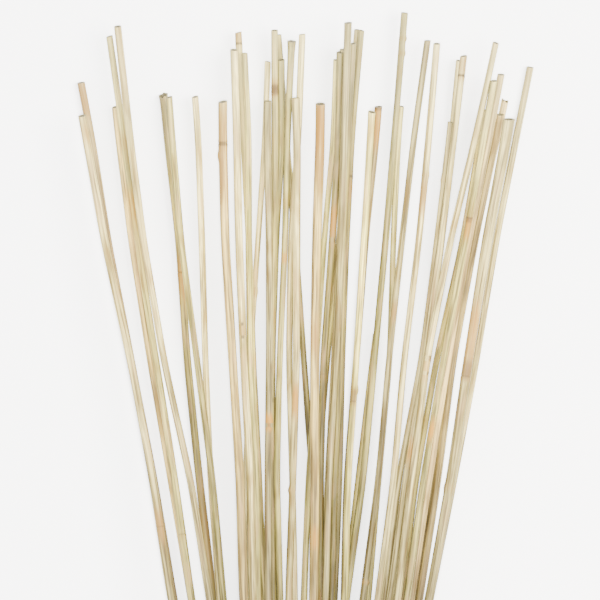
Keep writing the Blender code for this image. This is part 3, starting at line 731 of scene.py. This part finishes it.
CANE = {
    "reed_cream": cane("sun-bleached cane, cream", "#EFDA8B", "#A08D49", "#65542A"),
    "reed_green": cane("half-dried cane, pale green", "#DBC96E", "#958A3F", "#5F5427"),
    "reed_tan": cane("dried cane, tan", "#DABB66", "#978045", "#604E2A"),
    "reed_pinkish": cane("dried cane, pinkish beige", "#E8C678", "#A2874E", "#6B572F"),
    "reed_olive": cane("shaded cane, olive straw", "#B8A550", "#7A6C34", "#524622"),
}

# How much lighter or darker a reed is than others of its tone: partly its own tone, and partly painted light
# that lifts the reeds lying low in the pile out of the shade they lie in.
TONES_AND_PAINTED_LIGHT = {
    "reed_01": 0.52, "reed_02": 0.82, "reed_03": 0.79, "reed_04": 0.45, "reed_05": 0.7, "reed_06": 1.35,
    "reed_07": 1.35, "reed_08": 1.28, "reed_09": 1.06, "reed_10": 1.35, "reed_12": 1.25, "reed_13": 1.28,
    "reed_14": 0.7, "reed_15": 0.65, "reed_16": 0.84, "reed_17": 1.35, "reed_18": 0.97, "reed_20": 0.73,
    "reed_21": 0.93, "reed_22": 1.06, "reed_24": 0.56, "reed_25": 0.74, "reed_26": 0.72, "reed_27": 0.68,
    "reed_28": 0.95, "reed_29": 0.47, "reed_30": 0.62, "reed_31": 0.64, "reed_32": 0.53, "reed_33": 0.83,
    "reed_34": 0.94, "reed_35": 0.77, "reed_36": 1.02, "reed_37": 0.83, "reed_38": 0.56, "reed_39": 1.25,
    "reed_40": 0.87, "reed_41": 0.82, "reed_42": 0.81, "reed_44": 1.0, "reed_45": 0.9, "reed_46": 0.65,
}

# How far apart two reeds start in their patterns and in their unevenness, so that no two look alike. An edge
# sharper than CRISP, as at a cut end, isn't smoothed.
FIRST_SEED = 100
PATTERNS_APART = 13.7
UNEVENNESS_APART = 3.7
CRISP = math.radians(50)

skin = skin_tree()
slots = {part["node"]: part["material_slot"] for part in frame["record"]["subparts"]}
reed_names = sorted(name for name in frame["nodes"] if name.startswith("reed_"))
standing_off = swells([reed_line(frame["nodes"][name]) for name in reed_names], HEIGHTS)

for number, name in enumerate(reed_names):
    rows = reed_rows(name, frame["nodes"][name], FIRST_SEED + number, standing_off[number])
    reed = made_by(skin, "cane_" + name[-2:], rings_of(rows.pop("middle"), rows),
                   {"Seed": UNEVENNESS_APART * number, "Finish": CANE[slots[name]]})
    for key, value in (("own", PATTERNS_APART * number), ("shade", TONES_AND_PAINTED_LIGHT.get(name, 1.0))):
        column = reed.data.attributes.new(key, "FLOAT", "POINT")
        column.data.foreach_set("value", np.full(len(reed.data.vertices), value, np.float32))
    reed.data.set_sharp_from_angle(angle=CRISP)
    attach(reed, "root")
    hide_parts(name)


# The tie.
# Three-ply jute twine, wound six times round the bunch just above the cut ends and closed with a flat
# knot on its upper side. Its two ends are cut short, and loose fibres stand out from it all along.

# In metres: the twine's three plies turn once in each LAY. The knot takes the band's end on both sides up to
# KNOT_REACH, its middle is KNOT_OUT beyond the reeds, and it bends with the bunch.
TWINE = 0.0028
TWINE_CLEARANCE = 0.0003
TURNS = 6
TIE_LEVEL = 0.085
PLIES = 3
LAY = 0.013
VALLEY = 0.30
TWINE_SIDES = 18
TWINE_STEP = 0.0006
TWINE_BENDS = (0.0016, 0.0010)
CUT_TAPER = 0.0012
KNOT_ANGLE = math.radians(60.0)
KNOT_REACH = 0.0125
KNOT_OUT = 0.0056
BUNCH_RADIUS = 0.028
FIBRES_PER_M2 = 42000.0
FIBRE_THICKNESS = 0.00009
FIBRE_ABOVE_FLOOR = 0.006
FIBRE_OUTWARD = 0.3
FIBRE_SIZES = (0.45, 1.25)
HAIR_BEND = ((0, 0, -0.0003), (0.0003, 0, 0.0012), (0.0022, 0.0002, 0.0015))

# The knot's two bights, each from the band to its cut end, in millimetres round the bunch, along it and
# outwards.
UPPER_BIGHT = (
    (-8.6, 5.0, -1.2), (-6.4, 2.2, 0.9), (-4.2, 1.4, 1.4), (-1.6, 1.9, 0.2), (0.0, 2.4, -1.4),
    (2.0, 3.1, -0.6), (3.6, 3.1, 0.6), (4.7, 1.6, 1.3), (5.0, 0.0, 1.5), (4.7, -1.6, 1.3),
    (3.6, -3.1, 0.6), (2.0, -3.1, -0.6), (0.0, -2.4, -1.4), (-1.6, -1.9, 0.2), (-4.2, -1.5, 1.4),
    (-6.6, -3.2, 1.5), (-7.8, -7.5, 1.4), (-8.4, -13.0, 1.2), (-8.9, -17.0, 0.6), (-8.6, -20.0, -0.2),
)
UNDER_BIGHT = (
    (8.6, -5.0, -1.2), (6.4, -2.2, -1.3), (4.2, -1.4, -1.4), (1.6, -1.9, -0.2), (0.0, -2.4, 1.4),
    (-2.0, -3.1, 0.6), (-3.6, -3.1, -0.6), (-4.7, -1.6, -1.3), (-5.0, 0.0, -1.5), (-4.7, 1.6, -1.3),
    (-3.6, 3.1, -0.6), (-2.0, 3.1, 0.6), (0.0, 2.4, 1.4), (1.6, 1.9, -0.2), (4.2, 1.5, -1.2),
    (6.4, 3.4, -0.4), (7.8, 7.5, 0.8), (8.8, 12.0, 1.6), (9.8, 17.0, 1.6), (11.2, 21.0, 1.0),
)

# The band runs round the outermost of the reeds' edges, as a taut string does.
tie_at = FOOT_OF_REEDS + TIE_LEVEL
held = []
for name in reed_names:
    middles, radii = reed_line(frame["nodes"][name])
    for height in (tie_at - TURNS * TWINE / 2, tie_at, tie_at + TURNS * TWINE / 2):
        columns = (middles[:, 0], middles[:, 2], radii)
        held.append([np.interp(height, middles[:, 1], values) for values in columns])
held = np.array(held)
turned = KNOT_ANGLE + np.linspace(0.0, 2 * math.pi, 1441)
facing = np.stack([np.cos(turned), np.sin(turned)], axis=1)
outermost = np.argmax(held[:, :2] @ facing.T + held[:, 2:], axis=0)
rim = held[outermost, :2] + facing * (held[outermost, 2:] + TWINE_CLEARANCE + TWINE / 2)
rim_length = np.concatenate(([0.0], np.cumsum(np.linalg.norm(np.diff(rim, axis=0), axis=1))))
knot_out = np.array((facing[0, 0], 0.0, facing[0, 1]))
knot_round = np.array((-facing[0, 1], 0.0, facing[0, 0]))
knot_at = np.array((rim[0, 0], tie_at, rim[0, 1])) + knot_out * (KNOT_OUT - TWINE_CLEARANCE - TWINE / 2)


def knotted(bight):
    """The places of a bight given in millimetres, carried onto the bunch."""
    sideways, lengthwise, outwards = np.array(bight).T / 1000
    outwards = outwards - sideways ** 2 / (2 * BUNCH_RADIUS)
    across = np.outer(sideways, knot_round) + np.outer(lengthwise, (0, 1, 0))
    return knot_at + across + np.outer(outwards, knot_out)


run = np.arange(KNOT_REACH, TURNS * rim_length[-1] - KNOT_REACH, TWINE_STEP)
around_at = np.mod(run, rim_length[-1])
wound = np.stack([np.interp(around_at, rim_length, rim[:, 0]),
                  tie_at + TWINE * (run / rim_length[-1] - TURNS / 2),
                  np.interp(around_at, rim_length, rim[:, 1])], axis=1)
twine_line = np.concatenate([knotted(UNDER_BIGHT)[::-1], wound, knotted(UPPER_BIGHT)])
run = np.concatenate(([0.0], np.cumsum(np.linalg.norm(np.diff(twine_line, axis=0), axis=1))))
places = np.arange(0.0, run[-1], TWINE_STEP)
twine_line = rounded(places, run, twine_line, TWINE_BENDS[0])
twine_line = rounded(places, places, twine_line, TWINE_BENDS[1])
ahead = np.gradient(twine_line, axis=0)
ahead /= np.linalg.norm(ahead, axis=1)[:, None]
carried = np.zeros_like(ahead)
carried[0] = np.cross(ahead[0], (0.3, 0.2, 1.0))
for place, direction in enumerate(ahead):
    turning = carried[max(place - 1, 0)]
    turning = turning - direction * turning.dot(direction)
    carried[place] = turning / np.linalg.norm(turning)
from_end = np.minimum(places, places[-1] - places)
twine_rows = {
    "side": carried, "lift": np.cross(carried, ahead), "along": places,
    "radius": TWINE / 2 * np.clip(from_end / CUT_TAPER, 0.02, 1.0) ** 0.4,
}


def twine_tree():
    """The tree that lays plied twine along a line."""
    tree = bpy.data.node_groups.new("plied twine", "GeometryNodeTree")
    given = tree_inputs(tree, (
        ("Rings", "NodeSocketGeometry", None), ("Sides", "NodeSocketInt", TWINE_SIDES),
        ("Plies", "NodeSocketFloat", PLIES), ("Lay", "NodeSocketFloat", LAY),
        ("Valley", "NodeSocketFloat", VALLEY), ("Finish", "NodeSocketMaterial", None)))
    sheet, angle, cosine, sine, ring = laid_round(tree, given["Rings"], given["Sides"])
    radius, along = ring("radius"), ring("along")
    turn = node(tree, "ShaderNodeMath", {0: angle, 1: 2 * math.pi}, operation="DIVIDE").outputs[0]
    travelled = node(tree, "ShaderNodeMath", {0: along, 1: given["Lay"]}, operation="DIVIDE").outputs[0]
    turn = node(tree, "ShaderNodeMath", {0: turn, 1: travelled}, operation="ADD").outputs[0]
    turn = node(tree, "ShaderNodeMath", {0: turn, 1: given["Plies"]}, operation="MULTIPLY").outputs[0]
    valley = node(tree, "ShaderNodeMath", {0: turn, 1: 0.5}, operation="PINGPONG").outputs[0]
    valley = node(tree, "ShaderNodeMath", {0: valley, 1: 2.0}, operation="MULTIPLY").outputs[0]
    deep = node(tree, "ShaderNodeMath", {0: valley, 1: 2.2}, operation="POWER").outputs[0]
    deep = node(tree, "ShaderNodeMath", {0: deep, 1: given["Valley"]}, operation="MULTIPLY").outputs[0]
    left = node(tree, "ShaderNodeMath", {0: 1.0, 1: deep}, operation="SUBTRACT").outputs[0]
    reach = node(tree, "ShaderNodeMath", {0: radius, 1: left}, operation="MULTIPLY").outputs[0]
    corner, _ = set_out(tree, ring, cosine, sine, reach)
    skin = node(tree, "GeometryNodeSetPosition", {"Geometry": sheet, "Position": corner}).outputs[0]
    grain = grain_place(tree, ring, cosine, sine)
    finished(tree, skin, given["Finish"], [("grain", "FLOAT_VECTOR", grain), ("valley", "FLOAT", valley)])
    return tree


def fibre_tree():
    """The tree that stands loose fibres on the outer side of the twine."""
    tree = bpy.data.node_groups.new("loose fibres", "GeometryNodeTree")
    given = tree_inputs(tree, (
        ("Twine", "NodeSocketGeometry", None), ("Fibres per m2", "NodeSocketFloat", FIBRES_PER_M2),
        ("Thickness", "NodeSocketFloat", FIBRE_THICKNESS), ("Seed", "NodeSocketInt", 5),
        ("Middle", "NodeSocketVector", (0.0, 0.0, 0.0)), ("Finish", "NodeSocketMaterial", None)))

    # They stand only where the twine faces away from the bunch, and clear of the floor.
    place = node(tree, "GeometryNodeInputPosition").outputs[0]
    normal = node(tree, "GeometryNodeInputNormal").outputs[0]
    away = node(tree, "ShaderNodeVectorMath", {0: place, 1: given["Middle"]}, operation="SUBTRACT").outputs[0]
    away = node(tree, "ShaderNodeVectorMath", {0: away, 1: (1.0, 0.0, 1.0)}, operation="MULTIPLY").outputs[0]
    away = node(tree, "ShaderNodeVectorMath", {0: away}, operation="NORMALIZE").outputs[0]
    free = []
    for first, second, least in (
            (away, normal, FIBRE_OUTWARD), (place, (0.0, 0.0, 1.0), FIBRE_ABOVE_FLOOR)):
        far = node(tree, "ShaderNodeVectorMath", {0: first, 1: second}, operation="DOT_PRODUCT")
        free.append(node(tree, "FunctionNodeCompare", {0: far.outputs["Value"], 1: least},
                         data_type="FLOAT", operation="GREATER_THAN").outputs[0])
    free = node(tree, "FunctionNodeBooleanMath", {0: free[0], 1: free[1]}, operation="AND").outputs[0]
    roots = node(tree, "GeometryNodeDistributePointsOnFaces", {
        "Mesh": given["Twine"], "Selection": free, "Density": given["Fibres per m2"], "Seed": given["Seed"]})

    # One bent three-sided hair of about 3 mm is turned and sized at random on each root.
    start, middle, end = HAIR_BEND
    bent = node(tree, "GeometryNodeCurveQuadraticBezier", {
        "Resolution": 5, "Start": start, "Middle": middle, "End": end})
    section = node(tree, "GeometryNodeCurvePrimitiveCircle", {"Resolution": 3, "Radius": given["Thickness"]})
    fibre = node(tree, "GeometryNodeCurveToMesh", {
        "Curve": bent.outputs[0], "Profile Curve": section.outputs[0], "Fill Caps": True}).outputs[0]
    spin = node(tree, "FunctionNodeRandomValue", {
        2: 0.0, 3: 2 * math.pi, "Seed": given["Seed"]}, data_type="FLOAT").outputs[1]
    spin = node(tree, "ShaderNodeCombineXYZ", {"Z": spin}).outputs[0]
    turned = node(tree, "FunctionNodeRotateRotation", {
        "Rotation": roots.outputs["Rotation"], "Rotate By": spin}, rotation_space="LOCAL").outputs[0]
    size = node(tree, "FunctionNodeRandomValue", {
        2: FIBRE_SIZES[0], 3: FIBRE_SIZES[1], "Seed": given["Seed"]}, data_type="FLOAT").outputs[1]
    stood = node(tree, "GeometryNodeInstanceOnPoints", {
        "Points": roots.outputs["Points"], "Instance": fibre, "Rotation": turned, "Scale": size}).outputs[0]
    finished(tree, stood, given["Finish"])
    return tree


# Jute: stem fibre spun dry and plied, dull and hairy, with painted shade darkening the valleys where the
# plies press together.
# Its spun fibres are 0.3 mm wide, several real ones together so that they show, and its lumps 6 mm.
JUTE_HAIRS = (3200.0, 3200.0, 260.0)
JUTE_LUMPS = 160.0
jute, tree, output = new_material("jute twine")
grain = node(tree, "ShaderNodeAttribute", attribute_name="grain").outputs["Vector"]
spun = node(tree, "ShaderNodeMapping", {"Vector": grain, "Scale": JUTE_HAIRS}).outputs[0]
hairs = node(tree, "ShaderNodeTexNoise", {
    "Vector": spun, "Detail": 4.0, "Roughness": 0.7, "Scale": 1.0}).outputs["Fac"]
lumps = node(tree, "ShaderNodeTexNoise", {"Vector": grain, "Detail": 2.0, "Scale": JUTE_LUMPS}).outputs["Fac"]
crease_shade = node(tree, "ShaderNodeAttribute", attribute_name="valley").outputs["Fac"]
colour = linear("#4A3A1D")
# The last layer is painted shade in the valleys between the plies.
for shown_by, begins, full, most, paint in (
        (hairs, 0.3, 0.7, 1.0, "#7A6233"), (lumps, 0.35, 0.7, 0.45, "#5E4822"),
        (crease_shade, 0.55, 1.0, 0.7, "#2E2213")):
    share = node(tree, "ShaderNodeMapRange", {"Value": shown_by, 1: begins, 2: full, 4: most}).outputs[0]
    layer = {0: share, 6: colour, 7: linear(paint)}
    colour = node(tree, "ShaderNodeMix", layer, data_type="RGBA").outputs[2]
fuzz = node(tree, "ShaderNodeBump", {"Height": hairs, "Strength": 0.6, "Distance": 0.00015}).outputs[0]
surface = node(tree, "ShaderNodeBsdfPrincipled", {
    "Base Color": colour, "Roughness": 0.88, "Specular IOR Level": 0.2, "Sheen Weight": 0.15, "Normal": fuzz})
tree.links.new(surface.outputs["BSDF"], output.inputs["Surface"])

twine = made_by(twine_tree(), "twine_tie", rings_of(twine_line, twine_rows), {"Finish": jute})
fibres = made_by(fibre_tree(), "twine_fibres", twine.data.copy(), {
    "Finish": jute, "Middle": (held[:, 0].mean(), tie_at, held[:, 1].mean())})
for piece in (twine, fibres):
    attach(piece, "root")
    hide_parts("tie")
